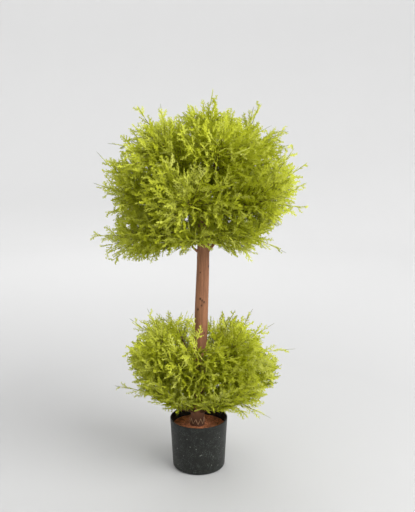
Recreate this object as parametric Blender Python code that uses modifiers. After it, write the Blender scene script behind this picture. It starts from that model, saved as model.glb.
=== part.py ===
"""Two-tier conifer topiary in a nursery pot, in metres with +Z up.

The origin is the centre of the pot's flat underside. A leaning wooden trunk stands on the
fill of the pot and carries two tiers of foliage. Each tier is a set of boughs, and each
bough carries one mass of plumes that keeps to its own share of the space round the trunk.
A plume is a three-sided stalk whose sides are drawn out into flat needle-like teeth.
"""

import math
import random
from collections import namedtuple

import bmesh
import bpy
from mathutils import Vector
from mathutils.bvhtree import BVHTree

SEED = 41
GAP = 0.0003

# Pot and fill
POT_HEIGHT = 0.123
POT_RIM_RADIUS = 0.0695
POT_FOOT_RADIUS = 0.0635
POT_WALL = 0.0022
POT_FLOOR = 0.004
POT_FOOT_ROUNDING = 0.006
POT_RIM_ROUNDING = 0.0009
POT_STEPS = 32
ARC_STEPS = 3
FILL_TOP = 0.100
FILL_STEPS = 32

# Trunk: a round pole with a slight lean to +X, a slight bow and a flared foot
TRUNK_FOOT_X = -0.004
TRUNK_TOP = 0.700
TRUNK_LEAN = math.radians(1.95)
TRUNK_BOW = 0.0012
TRUNK_SIDES = 16
TRUNK_RINGS = 10
# height on the plant, radius
TRUNK_RADII = (
    (0.100, 0.0198),
    (0.106, 0.0178),
    (0.118, 0.0169),
    (0.380, 0.0160),
    (0.540, 0.0148),
    (0.660, 0.0118),
    (0.700, 0.0085),
)

# Boughs and stems
BOUGH_ROOT_RADIUS = 0.0050
BOUGH_TIP_RADIUS = 0.0031
BOUGH_COLLAR = 0.35
BOUGH_RINGS = 3
BOUGH_SIDES = 5
BOUGH_SHARE = 0.34
BOUGH_SAG = 0.10
STEM_TIP_RADIUS = 0.0016
STEM_SHARE = 0.62
STEM_SHORTEST = 0.040
STEM_SIDES = 5
STEM_RINGS = 4
CORE_DEPTH = 0.09
CORE_WIDTH = 0.29
CORE_SWELL = (0.85, 1.05)
CORE_NEAREST = 0.036
CORE_SHRINK = 0.04
CORE_SMALLEST = 0.1
CORE_MARGIN = 0.002

# Plumes
PLUME_ROOT_RADIUS = 0.0021
PLUME_TIP_RADIUS = 0.0009
PLUME_SEGMENTS = 4
BARE_SEGMENTS = 1
PLUME_BEND = 0.42
PLUME_TURN = 0.75
TIP_SHARE = 0.14
PLUME_ROOTS = (0.06, 0.92)
PLUME_SPREAD = math.radians(75)
ROOT_STRAY = 0.06
PLUME_LENGTHS = (0.86, 1.0)
AZIMUTH_STRAY = 4
ELEVATION_STRAY = 3
TOOTH_RATIO = 0.36
TOOTH_LONGEST = 0.050
TOOTH_SWELL = 0.30
TOOTH_FALL = 0.86
TOOTH_CLEARANCE = 1.1
TOOTH_LENGTHS = (0.75, 1.1)
TOOTH_ANGLE = math.radians(44)
TOOTH_STRAY = math.radians(20)
TOOTH_TRIALS = (1.0, 0.8, 0.6, 0.4)
TOOTH_SAMPLES = (0.3, 0.65, 1.0)
SPACE_MARGIN = 0.0006
LIMB_MARGIN = 0.0015

# Mesh joining and shading
CAP_MERGE = 0.00001
UNION_MERGE = 0.000002
STEEP = 0.05
SHARP_ANGLE = math.radians(40)

# A ring of boughs: name, how many, height of their roots on the trunk, azimuth of the
# first, and the radius and height of the seed points that share out the space
Ring = namedtuple("Ring", "name count root azimuth radius height")

# A tier of foliage: name, height of its heart on the trunk, its rings, its reach from the
# heart by elevation on the right (+X), on the left and in front (-Y), how many plumes cover
# it, between which elevations in front, at the sides and at the back, how far out its cores
# lie as a share of the reach (0 for none), and its longest shoots
Tier = namedtuple("Tier", "name heart rings right left fore plumes front side back core shoots")

# What a mass grows on from: name, path from the trunk's axis to the tip, seed point of the
# mass's space, and whether the path is a bough of its own
Limb = namedtuple("Limb", "name path seed is_bough")

UPPER = Tier(
    name="upper",
    heart=0.601,
    rings=(
        Ring("low", 6, 0.562, 18, 0.140, 0.574),
        Ring("middle", 5, 0.618, 42, 0.140, 0.655),
        Ring("high", 4, 0.665, 20, 0.085, 0.760),
        Ring("top", 1, 0.700, 0, 0.0, 0.800),
    ),
    # elevation in degrees, reach
    right=(
        (-60, 0.090),
        (-45, 0.106),
        (-36, 0.146),
        (-25, 0.152),
        (-8, 0.162),
        (5, 0.208),
        (15, 0.236),
        (25, 0.262),
        (45, 0.290),
        (90, 0.292),
    ),
    left=(
        (-60, 0.080),
        (-38, 0.090),
        (-31, 0.126),
        (-25, 0.226),
        (-17, 0.250),
        (-8, 0.244),
        (5, 0.236),
        (20, 0.254),
        (35, 0.286),
        (50, 0.296),
        (90, 0.290),
    ),
    fore=(
        (-60, 0.058),
        (-45, 0.066),
        (-30, 0.084),
        (-20, 0.106),
        (-10, 0.152),
        (-4, 0.200),
        (10, 0.218),
        (25, 0.252),
        (45, 0.280),
        (90, 0.286),
    ),
    plumes=129,
    front=(-42, 90),
    side=(-42, 90),
    back=(-36, 90),
    core=0.56,
    shoots=(
        (0, 86, 0.297),
        (180, 70, 0.285),
        (180, 60, 0.306),
        (176, 33, 0.295),
        (184, 20, 0.268),
        (180, -7, 0.269),
        (182, -23, 0.237),
        (0, 30, 0.272),
        (4, 20, 0.254),
        (-3, 8, 0.240),
        (0, -21, 0.205),
        (10, 46, 0.286),
        (-8, 65, 0.298),
        (178, -14, 0.252),
        (184, -18, 0.246),
        (178, 39, 0.284),
    ),
)

LOWER = Tier(
    name="lower",
    heart=0.170,
    rings=(
        Ring("low", 5, 0.138, -54, 0.106, 0.176),
        Ring("high", 5, 0.198, -18, 0.070, 0.290),
    ),
    right=(
        (-20, 0.115),
        (-5, 0.122),
        (2, 0.134),
        (13, 0.195),
        (18, 0.238),
        (25, 0.240),
        (40, 0.228),
        (60, 0.240),
        (80, 0.236),
    ),
    left=(
        (-20, 0.045),
        (-5, 0.050),
        (4, 0.082),
        (12, 0.128),
        (20, 0.178),
        (30, 0.216),
        (40, 0.236),
        (55, 0.246),
        (80, 0.236),
    ),
    fore=(
        (12, 0.100),
        (22, 0.180),
        (32, 0.225),
        (45, 0.248),
        (75, 0.232),
    ),
    plumes=43,
    front=(12, 52),
    side=(-6, 77),
    back=(-16, 52),
    core=0.0,
    shoots=(
        (0, 46, 0.264),
        (180, 51, 0.258),
        (2, -10, 0.150),
        (-12, -17, 0.130),
        (0, 28, 0.266),
        (0, 60, 0.260),
        (-4, -15, 0.184),
        (180, 62, 0.256),
        (180, 9, 0.206),
        (258, 74, 0.232),
        (-88, 25, 0.150),
        (-66, 26, 0.195),
        (-112, 26, 0.190),
    ),
)

TIERS = (UPPER, LOWER)

# name: colour, roughness, metallic
FINISHES = {
    "pot": ((0.030, 0.032, 0.029, 1), 0.55, 0.0),
    "fill": ((0.080, 0.033, 0.015, 1), 0.95, 0.0),
    "bark": ((0.255, 0.122, 0.066, 1), 0.70, 0.0),
    "bough": ((0.110, 0.060, 0.025, 1), 0.75, 0.0),
    "foliage": ((0.205, 0.230, 0.018, 1), 0.60, 0.0),
}


# ---------------------------------------------------------------- helpers


def new_collection(name):
    collection = bpy.data.collections.new(name)
    bpy.context.scene.collection.children.link(collection)
    return collection


def finish(name):
    """The named finish as a Principled material, made once."""
    material = bpy.data.materials.get(name)
    if material:
        return material
    colour, roughness, metallic = FINISHES[name]
    material = bpy.data.materials.new(name)
    material.use_nodes = True
    shader = material.node_tree.nodes["Principled BSDF"]
    shader.inputs["Base Color"].default_value = colour
    shader.inputs["Roughness"].default_value = roughness
    shader.inputs["Metallic"].default_value = metallic
    return material


def new_object(name, data, collection, finish_name=None):
    thing = bpy.data.objects.new(name, data)
    collection.objects.link(thing)
    if finish_name:
        thing.data.materials.append(finish(finish_name))
    return thing


def between(knots, value):
    """Straight-line reading of a table of (position, value) pairs."""
    if value <= knots[0][0]:
        return knots[0][1]
    for (start, low), (end, high) in zip(knots, knots[1:]):
        if value <= end:
            return low + (high - low) * (value - start) / (end - start)
    return knots[-1][1]


def mix(a, b, share):
    return a + (b - a) * share


def direction(azimuth, elevation):
    """Unit vector from an azimuth round +Z and an elevation, both in degrees."""
    turn = math.radians(azimuth)
    rise = math.radians(elevation)
    flat = math.cos(rise)
    return Vector((flat * math.cos(turn), flat * math.sin(turn), math.sin(rise)))


def bend(start, middle, end, count, part=1.0):
    """Points along a quadratic curve, or along the first part of it, ends included."""
    points = []
    for step in range(count + 1):
        t = part * step / count
        points.append(start * (1 - t) ** 2 + middle * (2 * t * (1 - t)) + end * t**2)
    return points


def across(axis):
    """A unit vector square to the axis, level where it can be."""
    side = axis.cross(Vector((0, 0, 1)))
    if side.length < STEEP:
        side = axis.cross(Vector((0, 1, 0)))
    return side.normalized()


# ---------------------------------------------------------------- trunk


def trunk_centre(height):
    rise = height - FILL_TOP
    share = rise / (TRUNK_TOP - FILL_TOP)
    x = TRUNK_FOOT_X + math.tan(TRUNK_LEAN) * rise + TRUNK_BOW * math.sin(math.pi * share)
    return Vector((x, 0, height))


def trunk_curve(name, grown):
    """The trunk as a round curve whose first stretch is upright, so its foot is level."""
    curve = bpy.data.curves.new(name, "CURVE")
    curve.dimensions = "3D"
    curve.bevel_depth = 1.0
    curve.bevel_resolution = (TRUNK_SIDES - 4) // 2
    curve.use_fill_caps = True
    foot = FILL_TOP + GAP - grown
    flare_top = TRUNK_RADII[2][0]
    heights = [foot, TRUNK_RADII[1][0], flare_top]
    for ring in range(1, TRUNK_RINGS + 1):
        heights.append(mix(flare_top, TRUNK_TOP + grown, ring / TRUNK_RINGS))
    spline = curve.splines.new("POLY")
    spline.points.add(len(heights) - 1)
    for point, height in zip(spline.points, heights):
        centre = trunk_centre(max(height, TRUNK_RADII[1][0]))
        point.co = (centre.x, centre.y, height, 1)
        point.radius = between(TRUNK_RADII, height) + grown
    return curve


def curve_to_mesh(name, curve, collection, finish_name=None):
    """A capped curve as a closed mesh object."""
    guide = new_object(name + "_curve", curve, collection)
    bpy.context.view_layer.update()
    ready = guide.evaluated_get(bpy.context.evaluated_depsgraph_get())
    mesh = bpy.data.meshes.new_from_object(ready)
    bpy.data.objects.remove(guide)
    shape = bmesh.new()
    shape.from_mesh(mesh)
    bmesh.ops.remove_doubles(shape, verts=shape.verts, dist=CAP_MERGE)
    bmesh.ops.recalc_face_normals(shape, faces=shape.faces)
    shape.to_mesh(mesh)
    shape.free()
    mesh.name = name
    mesh.materials.clear()
    return new_object(name, mesh, collection, finish_name)


def smooth(thing):
    thing.data.shade_smooth()
    thing.data.set_sharp_from_angle(angle=SHARP_ANGLE)


# ---------------------------------------------------------------- pot and fill


def turned(name, profile, steps, collection, finish_name):
    """A solid turned round Z from a profile of (radius, height), top to bottom outside."""
    mesh = bpy.data.meshes.new(name)
    points = [(radius, 0, height) for radius, height in profile]
    mesh.from_pydata(points, [(i, i + 1) for i in range(len(points) - 1)], [])
    thing = new_object(name, mesh, collection, finish_name)
    screw = thing.modifiers.new("Turn", "SCREW")
    screw.steps = steps
    screw.render_steps = steps
    screw.use_merge_vertices = True
    screw.merge_threshold = 0.00005
    screw.use_smooth_shade = True
    return thing


def arc(centre, radius, first, last):
    """Points of a round corner in a profile, angles in degrees."""
    points = []
    for step in range(ARC_STEPS + 1):
        angle = math.radians(mix(first, last, step / ARC_STEPS))
        x = centre[0] + radius * math.cos(angle)
        z = centre[1] + radius * math.sin(angle)
        points.append((x, z))
    return points


def pot_radius(height):
    return mix(POT_FOOT_RADIUS, POT_RIM_RADIUS, height / POT_HEIGHT)


def build_pot(collection):
    lip = POT_HEIGHT - POT_RIM_ROUNDING
    lip_outer = (pot_radius(lip) - POT_RIM_ROUNDING, lip)
    lip_inner = (pot_radius(lip) - POT_WALL + POT_RIM_ROUNDING, lip)
    foot = (POT_FOOT_RADIUS - POT_FOOT_ROUNDING, POT_FOOT_ROUNDING)
    profile = [(0, POT_FLOOR)]
    profile.append((pot_radius(POT_FLOOR) - POT_WALL - POT_FOOT_ROUNDING / 2, POT_FLOOR))
    profile.append((pot_radius(POT_FOOT_ROUNDING) - POT_WALL, POT_FLOOR + POT_FOOT_ROUNDING / 2))
    profile += arc(lip_inner, POT_RIM_ROUNDING, 180, 90)
    profile += arc(lip_outer, POT_RIM_ROUNDING, 90, 0)
    profile += arc(foot, POT_FOOT_ROUNDING, 0, -90)
    profile.append((0, 0))
    turned("pot", profile, POT_STEPS, collection, "pot")


def build_fill(collection):
    bottom = POT_FLOOR + GAP
    corner = bottom + POT_FOOT_ROUNDING / 2
    foot_radius = pot_radius(POT_FLOOR) - POT_WALL - POT_FOOT_ROUNDING / 2 - GAP
    corner_radius = pot_radius(POT_FOOT_ROUNDING) - POT_WALL - 2 * GAP
    top_radius = pot_radius(FILL_TOP) - POT_WALL - 2 * GAP
    profile = [
        (0, FILL_TOP),
        (top_radius, FILL_TOP),
        (corner_radius, corner),
        (foot_radius, bottom),
        (0, bottom),
    ]
    turned("fill", profile, FILL_STEPS, collection, "fill")


# ---------------------------------------------------------------- spaces


class Space:
    """The share of space nearer to a limb's seed point than to any other, clear of limbs."""

    def __init__(self, limb, other_seeds):
        self.limb = limb
        self.planes = []
        for other in other_seeds:
            normal = (limb.seed - other).normalized()
            self.planes.append((normal, normal.dot((limb.seed + other) / 2)))

    def room(self, point):
        """Distance from the point to the nearest border, negative outside."""
        return min(normal.dot(point) - offset for normal, offset in self.planes)

    def clear_of_limbs(self, point, margin):
        if point.z < TRUNK_TOP + margin:
            centre = trunk_centre(point.z)
            apart = (point - centre).to_2d().length
            if apart < between(TRUNK_RADII, point.z) + margin:
                return False
        flat = point.to_2d().length
        if flat < POT_RIM_RADIUS + margin and point.z < POT_HEIGHT + margin:
            return False
        for start, end in zip(self.limb.path, self.limb.path[1:]):
            run = end - start
            share = max(0, min(1, (point - start).dot(run) / run.length_squared))
            if (point - start - run * share).length < BOUGH_ROOT_RADIUS + margin:
                return False
        return True

    def holds(self, point, margin=SPACE_MARGIN):
        return self.room(point) > margin and self.clear_of_limbs(point, LIMB_MARGIN)


# ---------------------------------------------------------------- limbs and plumes


def loft(points, radii, sides, start_turn=0.0):
    """A closed tapering tube of the given number of sides along the points."""
    shape = bmesh.new()
    side = across(points[1] - points[0])
    rings = []
    for index, (point, radius) in enumerate(zip(points, radii)):
        before = points[max(index - 1, 0)]
        after = points[min(index + 1, len(points) - 1)]
        axis = (after - before).normalized()
        side = (side - axis * side.dot(axis)).normalized()
        normal = axis.cross(side)
        ring = []
        for step in range(sides):
            turn = start_turn + 2 * math.pi * step / sides
            offset = side * math.cos(turn) + normal * math.sin(turn)
            ring.append(shape.verts.new(point + offset * radius))
        rings.append(ring)
    for low, high in zip(rings, rings[1:]):
        for step in range(sides):
            after = (step + 1) % sides
            shape.faces.new((low[step], low[after], high[after], high[step]))
    shape.faces.new(list(reversed(rings[0])))
    shape.faces.new(rings[-1])
    bmesh.ops.recalc_face_normals(shape, faces=shape.faces)
    return shape


def to_object(shape, name, collection, finish_name=None):
    mesh = bpy.data.meshes.new(name)
    shape.to_mesh(mesh)
    shape.free()
    return new_object(name, mesh, collection, finish_name)


def tooth_length(share):
    """Length of a tooth, as a share of the longest, by its place along the plume."""
    return math.sin(math.pi * mix(TOOTH_SWELL, TOOTH_FALL, share))


class Crowd:
    """The flat shapes already grown in a mass, which a new tooth must not cross."""

    def __init__(self):
        self.corners = []
        self.tree = None

    def add(self, triangles):
        for triangle in triangles:
            self.corners.extend(triangle)
        faces = [(i, i + 1, i + 2) for i in range(0, len(self.corners), 3)]
        self.tree = BVHTree.FromPolygons(self.corners, faces)

    def crossed_by(self, triangle):
        if self.tree is None:
            return False
        return bool(self.tree.overlap(BVHTree.FromPolygons(triangle, [(0, 1, 2)])))


def tooth_tip(low, high, lean, length, space, crowd):
    """The furthest tip, of a few trial lengths, whose tooth keeps clear, or None."""
    root = (low + high) / 2
    for share in TOOTH_TRIALS:
        reach = lean * length * share
        if not all(space.holds(root + reach * part) for part in TOOTH_SAMPLES):
            continue
        if not crowd.crossed_by((low, high, root + reach * TOOTH_CLEARANCE)):
            return root + reach
    return None


def plume(root, lead, target, roll, space, crowd, rng):
    """A curved three-sided stalk with a row of teeth on each side, or None if it won't fit."""
    length = (target - root).length
    heading = mix(lead, (target - root) / length, PLUME_TURN).normalized()
    middle = root + heading * length * PLUME_BEND
    points = bend(root, middle, target, PLUME_SEGMENTS, 1 - TIP_SHARE)
    longest = min(length * TOOTH_RATIO, TOOTH_LONGEST)
    side = across(target - root)
    shape = bmesh.new()
    rings = []
    frames = []
    for index, point in enumerate(points):
        after = points[index + 1] if index < PLUME_SEGMENTS else target
        axis = (after - points[max(index - 1, 0)]).normalized()
        side = (side - axis * side.dot(axis)).normalized()
        normal = axis.cross(side)
        frames.append((axis, side, normal))
        radius = mix(PLUME_ROOT_RADIUS, PLUME_TIP_RADIUS, index / PLUME_SEGMENTS)
        if index and not space.holds(point, SPACE_MARGIN + radius):
            shape.free()
            return None
        ring = []
        for corner in range(3):
            angle = roll + 2 * math.pi * corner / 3
            offset = side * math.cos(angle) + normal * math.sin(angle)
            ring.append(shape.verts.new(point + offset * radius))
        rings.append(ring)
    blades = []
    for index in range(PLUME_SEGMENTS):
        axis, side, normal = frames[index]
        for row in range(3):
            after = (row + 1) % 3
            corners = [rings[index][row], rings[index][after]]
            corners += [rings[index + 1][after], rings[index + 1][row]]
            angle = roll + 2 * math.pi * (row + 0.5) / 3 + rng.uniform(-TOOTH_STRAY, TOOTH_STRAY)
            out = side * math.cos(angle) + normal * math.sin(angle)
            lean = axis * math.cos(TOOTH_ANGLE) + out * math.sin(TOOTH_ANGLE)
            size = longest * tooth_length((index + 0.5) / PLUME_SEGMENTS)
            size *= rng.uniform(*TOOTH_LENGTHS)
            apex = None
            if index >= BARE_SEGMENTS:
                apex = tooth_tip(points[index], points[index + 1], lean, size, space, crowd)
            if apex is None:
                shape.faces.new(corners)
                continue
            blades.append((points[index], points[index + 1], apex))
            point = shape.verts.new(apex)
            for first, second in zip(corners, corners[1:] + corners[:1]):
                shape.faces.new((first, second, point))
    crowd.add(blades)
    tip = shape.verts.new(target)
    for row in range(3):
        shape.faces.new((rings[-1][row], rings[-1][(row + 1) % 3], tip))
    shape.faces.new(list(reversed(rings[0])))
    bmesh.ops.recalc_face_normals(shape, faces=shape.faces)
    return shape


def core(centre, outward, depth, width, space, rng):
    """A flat lump square to the outward axis, drawn in until the space holds its points."""
    shape = bmesh.new()
    bmesh.ops.create_icosphere(shape, subdivisions=1, radius=1.0)
    side = across(outward)
    up = side.cross(outward)
    for vertex in shape.verts:
        x, y, z = vertex.co
        arm = (side * x + up * y) * width + outward * z * depth
        arm *= rng.uniform(*CORE_SWELL)
        share = 1.0
        while share > CORE_SMALLEST and not space.holds(centre + arm * share, CORE_MARGIN):
            share -= CORE_SHRINK
        vertex.co = centre + arm * share
    return shape


# ---------------------------------------------------------------- masses


def keep_largest_shell(mesh):
    """Keep the one largest closed shell, so hollows are filled and scraps are dropped."""
    shape = bmesh.new()
    shape.from_mesh(mesh)
    bmesh.ops.remove_doubles(shape, verts=shape.verts, dist=UNION_MERGE)
    bmesh.ops.dissolve_degenerate(shape, edges=shape.edges, dist=UNION_MERGE)
    bmesh.ops.triangulate(shape, faces=shape.faces)
    waiting = dict.fromkeys(shape.verts)
    shells = []
    while waiting:
        shell = [next(iter(waiting))]
        waiting.pop(shell[0])
        for vertex in shell:
            for edge in vertex.link_edges:
                other = edge.other_vert(vertex)
                if other in waiting:
                    waiting.pop(other)
                    shell.append(other)
        shells.append(shell)
    shells.sort(key=len)
    for shell in shells[:-1]:
        bmesh.ops.delete(shape, geom=shell, context="VERTS")
    shape.to_mesh(mesh)
    shape.free()


def closed(mesh):
    shape = bmesh.new()
    shape.from_mesh(mesh)
    whole = all(len(edge.link_faces) == 2 for edge in shape.edges)
    shape.free()
    return whole


def fuse(stem, pieces, solver):
    """The stem and the pieces joined by one Boolean union, as a mesh of one closed shell."""
    union = stem.modifiers.new("Fuse", "BOOLEAN")
    union.operation = "UNION"
    union.operand_type = "COLLECTION"
    union.collection = pieces
    union.solver = solver
    bpy.context.view_layer.update()
    ready = stem.evaluated_get(bpy.context.evaluated_depsgraph_get())
    joined = bpy.data.meshes.new_from_object(ready)
    stem.modifiers.remove(union)
    keep_largest_shell(joined)
    return joined


def fuse_all(stem, pieces):
    """Fuse the pieces to the stem, leaving out the last piece while the result isn't closed."""
    while pieces.objects:
        for solver in ("EXACT", "MANIFOLD"):
            joined = fuse(stem, pieces, solver)
            if closed(joined):
                stem.data = joined
                for piece in list(pieces.objects):
                    bpy.data.objects.remove(piece)
                return
        bpy.data.objects.remove(pieces.objects[-1])


def build_mass(limb, tier, space, targets, collection, rng):
    """A stem that grows on from the limb's tip, with plumes and perhaps a core."""
    tip = limb.path[-1]
    heart = trunk_centre(tier.heart)
    gone = (tip - heart).length
    lead = (tip - limb.path[-2]).normalized()
    outward = (limb.seed - tip).normalized()
    arm = limb.seed - heart
    rise = math.degrees(math.asin(arm.normalized().z))
    reach = reach_at(tier, math.degrees(math.atan2(arm.y, arm.x)), rise)
    length = max(STEM_SHARE * (reach - gone), STEM_SHORTEST)
    start = tip + lead * GAP
    points = bend(start, start + lead * length / 2, start + outward * length, STEM_RINGS)
    radii = []
    for index in range(STEM_RINGS + 1):
        radii.append(mix(BOUGH_TIP_RADIUS, STEM_TIP_RADIUS, index / STEM_RINGS))
    stem = to_object(loft(points, radii, STEM_SIDES), limb.name + "_mass", collection, "foliage")
    pieces = new_collection(limb.name + "_pieces")
    if tier.core:
        centre = start + outward * max(tier.core * reach - gone, CORE_NEAREST)
        lump = core(centre, outward, CORE_DEPTH * reach, CORE_WIDTH * reach, space, rng)
        to_object(lump, "core", pieces)
    crowd = Crowd()
    for target in targets:
        spread = outward.angle(target - start) / PLUME_SPREAD + rng.uniform(-ROOT_STRAY, ROOT_STRAY)
        place = mix(PLUME_ROOTS[1], PLUME_ROOTS[0], max(0, min(1, spread))) * STEM_RINGS
        low = int(place)
        root = mix(points[low], points[low + 1], place - low)
        heading = (points[low + 1] - points[low]).normalized()
        roll = rng.uniform(0, 2 * math.pi)
        blade = plume(root, heading, target, roll, space, crowd, rng)
        if blade:
            to_object(blade, "plume", pieces)
    fuse_all(stem, pieces)
    bpy.data.collections.remove(pieces)


# ---------------------------------------------------------------- tiers


def grow_limbs(tier):
    """The tier's limbs, each a path that its mass grows on from and a seed point.

    A ring out from the trunk has a bough along each path. A ring on the trunk's own axis
    has none: its one mass grows on from the trunk's top.
    """
    limbs = []
    for ring in tier.rings:
        root = trunk_centre(ring.root)
        middle = trunk_centre(min(ring.height, TRUNK_TOP))
        for index in range(ring.count):
            azimuth = ring.azimuth + 360 * index / ring.count
            seed = Vector((middle.x, middle.y, ring.height))
            seed += direction(azimuth, 0) * ring.radius
            name = f"{tier.name}_{ring.name}"
            if ring.radius:
                name += f"_{index + 1}"
                tip = mix(root, seed, BOUGH_SHARE)
                sag = Vector((0, 0, -BOUGH_SAG * (tip - root).length))
                path = bend(root, (root + tip) / 2 + sag, tip, BOUGH_RINGS)
            else:
                path = [trunk_centre(TRUNK_TOP - BOUGH_TIP_RADIUS), root]
            limbs.append(Limb(name, path, seed, ring.radius > 0))
    return limbs


def reach_at(tier, azimuth, elevation):
    """The tier's reach that way, between its tables for the right, the left and the front."""
    turn = math.radians(azimuth)
    sides = [between(knots, elevation) for knots in (tier.left, tier.right)]
    beside = mix(*sides, (1 + math.cos(turn)) / 2)
    return mix(beside, between(tier.fore, elevation), max(0, -math.sin(turn)) ** 2)


def limits_at(tier, azimuth):
    """The sines of the elevations between which the tier has plumes that way."""
    facing = -math.sin(math.radians(azimuth))
    ends = tier.front if facing > 0 else tier.back
    return [
        math.sin(math.radians(mix(side, end, abs(facing)))) for side, end in zip(tier.side, ends)
    ]


def plume_targets(tier, rng):
    """Points on the tier's outline, spread evenly, and the tips of its longest shoots."""
    heart = trunk_centre(tier.heart)
    golden = 180 * (3 - math.sqrt(5))
    targets = []
    for azimuth, elevation, reach in tier.shoots:
        targets.append(heart + direction(azimuth, elevation) * reach)
    for index in range(tier.plumes):
        azimuth = golden * index + rng.uniform(-AZIMUTH_STRAY, AZIMUTH_STRAY)
        rise = mix(*limits_at(tier, azimuth), (index + 0.5) / tier.plumes)
        elevation = math.degrees(math.asin(rise)) + rng.uniform(-ELEVATION_STRAY, ELEVATION_STRAY)
        reach = reach_at(tier, azimuth, elevation) * rng.uniform(*PLUME_LENGTHS)
        targets.append(heart + direction(azimuth, elevation) * reach)
    return targets


def build_bough(name, path, collection, trunk_cutter):
    radii = []
    for index in range(len(path)):
        share = index / BOUGH_RINGS
        collar = 1 + BOUGH_COLLAR * (1 - share) ** 4
        radii.append(mix(BOUGH_ROOT_RADIUS, BOUGH_TIP_RADIUS, share) * collar)
    bough = to_object(loft(path, radii, BOUGH_SIDES), name, collection, "bough")
    smooth(bough)
    cut = bough.modifiers.new("Seat on trunk", "BOOLEAN")
    cut.operation = "DIFFERENCE"
    cut.object = trunk_cutter


def build_tiers(collection, trunk_cutter):
    grown = {tier.name: grow_limbs(tier) for tier in TIERS}
    seeds = [limb.seed for limbs in grown.values() for limb in limbs]
    for tier in TIERS:
        rng = random.Random(f"{SEED} {tier.name}")
        targets = plume_targets(tier, rng)
        for limb in grown[tier.name]:
            if limb.is_bough:
                build_bough(limb.name + "_bough", limb.path, collection, trunk_cutter)
            space = Space(limb, [seed for seed in seeds if seed != limb.seed])
            own = [target for target in targets if space.room(target) > 0]
            build_mass(limb, tier, space, own, collection, rng)


def main():
    for thing in list(bpy.data.objects):
        bpy.data.objects.remove(thing)
    parts = new_collection("two_tier_topiary")
    cutters = new_collection("cutters")
    build_pot(parts)
    build_fill(parts)
    trunk = curve_to_mesh("trunk", trunk_curve("trunk", 0.0), parts, "bark")
    smooth(trunk)
    trunk_cutter = curve_to_mesh("trunk_cutter", trunk_curve("cutter", GAP), cutters)
    trunk_cutter.hide_render = True
    trunk_cutter.display_type = "WIRE"
    build_tiers(parts, trunk_cutter)


main()
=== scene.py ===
"""Looks of the two-tier conifer topiary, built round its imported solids, in metres with +Z up.

The trunk, the boughs, the shares of space and the tips of the plumes follow the rule that
the solids were grown by. Here each plume is carried on to fronds, twigs and leaves. Every
level of growth is a set of short quadratic curves, which are skinned as thin tubes.
"""

import random
from collections import namedtuple
from math import asin, atan2, cos, degrees, exp, hypot, pi, radians, sin, sqrt, tan

import bpy
import numpy as np
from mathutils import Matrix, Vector, noise


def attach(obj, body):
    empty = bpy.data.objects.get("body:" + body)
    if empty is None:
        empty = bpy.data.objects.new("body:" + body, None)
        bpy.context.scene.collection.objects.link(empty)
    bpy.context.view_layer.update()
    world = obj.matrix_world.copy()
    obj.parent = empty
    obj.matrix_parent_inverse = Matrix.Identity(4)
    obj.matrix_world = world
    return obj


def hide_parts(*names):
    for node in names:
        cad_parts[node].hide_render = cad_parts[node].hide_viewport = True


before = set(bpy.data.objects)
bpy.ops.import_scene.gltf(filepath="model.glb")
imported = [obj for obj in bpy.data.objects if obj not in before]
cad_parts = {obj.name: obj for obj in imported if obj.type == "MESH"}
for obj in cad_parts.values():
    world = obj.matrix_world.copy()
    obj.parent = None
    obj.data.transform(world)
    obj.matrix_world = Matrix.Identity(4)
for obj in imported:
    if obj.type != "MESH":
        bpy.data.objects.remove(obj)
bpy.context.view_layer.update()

# ---- driving dimensions, colours as sRGB of 0 to 255

SEED = 41
GAP = 0.0003
# The golden angle, in half turns
GOLDEN_TURN = 3 - sqrt(5)

# Pot
POT_HEIGHT = 0.123
POT_RIM_RADIUS = 0.0695
POT_FOOT_RADIUS = 0.0635
POT_WALL = 0.0022
POT_FLOOR = 0.004
POT_FOOT_ROUNDING = 0.006
POT_RIM_ROUNDING = 0.0009
POT_STEPS = 144
RIM_STEPS = 6
FOOT_STEPS = 10
WALL_STEPS = (12, 14)
SHARP_ANGLE = radians(50)
POT_DARK = (13, 15, 12)
POT_LIGHT = (29, 31, 26)
POT_FLECK = (118, 124, 120)
POT_SPECK = (190, 192, 184)

# Fill: its top sinks a little, and draws up at the wall and in a mound round the trunk
FILL_TOP = 0.100
FILL_STEPS = 180
FILL_RINGS = 64
FILL_SIDE = 0.004
FILL_SINK = 0.0010
FILL_WALL_RISE = 0.0016
FILL_WALL_SHARE = 0.86
MOUND_HEIGHT = 0.0055
MOUND_RADIUS = 0.017
MOUND_WIDTH = 0.010
FILL_DARK = (122, 78, 56)
FILL_LIGHT = (240, 152, 106)
# Lumps and grit on it: scale, seed, height
FILL_LUMPS = (90, 0.3, 0.0011)
FILL_GRIT = (420, 1.7, 0.0006)
# Loose granules, uneven and a little flat: name, count, range of sizes, colour
GRANULES = (
    ("fill_granules", 900, (0.0007, 0.0020), (196, 126, 86)),
    ("fill_dark_granules", 380, (0.0006, 0.0017), (84, 58, 44)),
    ("fill_pale_specks", 34, (0.0006, 0.0012), (200, 178, 140)),
)
GRANULE_MARGIN = 0.004
GRANULE_LIFT = 0.1
GRANULE_SHADE = 0.72
GRANULE_FLATNESS = 0.6
GRANULE_STRAY = 0.3

# Trunk
TRUNK_FOOT_X = -0.004
TRUNK_TOP = 0.700
TRUNK_LEAN = radians(1.95)
TRUNK_BOW = 0.0012
# height on the plant, radius
TRUNK_RADII = (
    (0.100, 0.0198),
    (0.106, 0.0178),
    (0.118, 0.0169),
    (0.380, 0.0160),
    (0.540, 0.0148),
    (0.660, 0.0118),
    (0.700, 0.0085),
)
TRUNK_SUNK = 0.003
TRUNK_SIDES = 72
TRUNK_RING_STEP = 0.0020

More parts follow.
